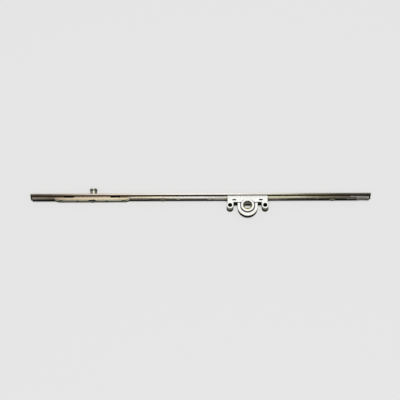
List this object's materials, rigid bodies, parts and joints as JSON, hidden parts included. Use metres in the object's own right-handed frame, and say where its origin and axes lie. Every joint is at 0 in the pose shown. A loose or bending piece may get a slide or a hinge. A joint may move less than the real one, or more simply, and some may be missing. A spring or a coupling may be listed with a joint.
{
  "type": "espagnolette window lock",
  "caption": "Espagnolette window lock with a rack-and-pinion gearbox, sliding drive rod behind a flat faceplate and adjustable locking cam.",
  "frame": {"origin": "centre of the handle spindle's square hole, at the middle of the gearbox's thickness", "axes": "+X along the drive rods, away from the locking cam; +Y from the spindle to the faceplate's front; +Z along the spindle to the handle side"},
  "size_m": [0.417, 0.0375, 0.016],
  "materials": {
    "yellow_zinc_steel": "rolled steel strip, yellow chromated zinc plating, satin, with brown to straw-coloured bands",
    "bright_zinc_steel": "bright zinc-plated steel rivets",
    "zinc_die_casting": "bright zinc die-casting, fine satin skin",
    "olive_zinc_steel": "steel strip with greenish grey zinc plating",
    "dark_zinc_steel": "turned steel, dark greenish zinc plating",
    "gold_hub_steel": "sintered steel pinion, gold-yellow chromated zinc plating"
  },
  "bodies": {
    "lock_case": {"faceplate": "yellow_zinc_steel", "guide_studs": "bright_zinc_steel", "gearbox_front_shell": "zinc_die_casting", "gearbox_rear_shell": "zinc_die_casting"},
    "drive_rod": {"drive_rod_left": "yellow_zinc_steel", "drive_rod_middle": "yellow_zinc_steel", "rack_bar": "yellow_zinc_steel", "drive_rod_right": "yellow_zinc_steel", "rod_end_connector": "zinc_die_casting", "rack_joint_rivets": "bright_zinc_steel", "connector_rivet": "bright_zinc_steel", "cam_strap": "olive_zinc_steel", "cam_base_plate": "yellow_zinc_steel", "strap_rivets": "dark_zinc_steel", "base_plate_rivets": "dark_zinc_steel", "cam_washer": "dark_zinc_steel"},
    "handle_pinion": {"drive_pinion": "gold_hub_steel"},
    "adjusting_cam": {"locking_cam": "dark_zinc_steel"},
    "keeper_roller": {"cam_roller": "bright_zinc_steel"}
  },
  "joints": [
    {"name": "rod_slide", "type": "slide", "parent": "lock_case", "child": "drive_rod", "axis": [1, 0, 0], "range_m": [-0.015, 0.015]},
    {"name": "pinion_turn", "type": "hinge", "parent": "lock_case", "child": "handle_pinion", "pos_m": [0, 0, 0], "axis": [0, 0, 1], "range_deg": [-90.5, 90.5]},
    {"name": "cam_adjust", "type": "hinge", "parent": "drive_rod", "child": "adjusting_cam", "pos_m": [-0.1905, 0.015, 0], "axis": [0, 1, 0], "range_deg": [-90, 90]},
    {"name": "roller_turn", "type": "hinge", "parent": "adjusting_cam", "child": "keeper_roller", "pos_m": [-0.1889, 0.016, 0], "axis": [0, 1, 0], "range_deg": [-180, 180]}
  ],
  "couplings": [
    {"joint": "pinion_turn", "follows": "rod_slide", "rad_per_m": -104.72}
  ]
}
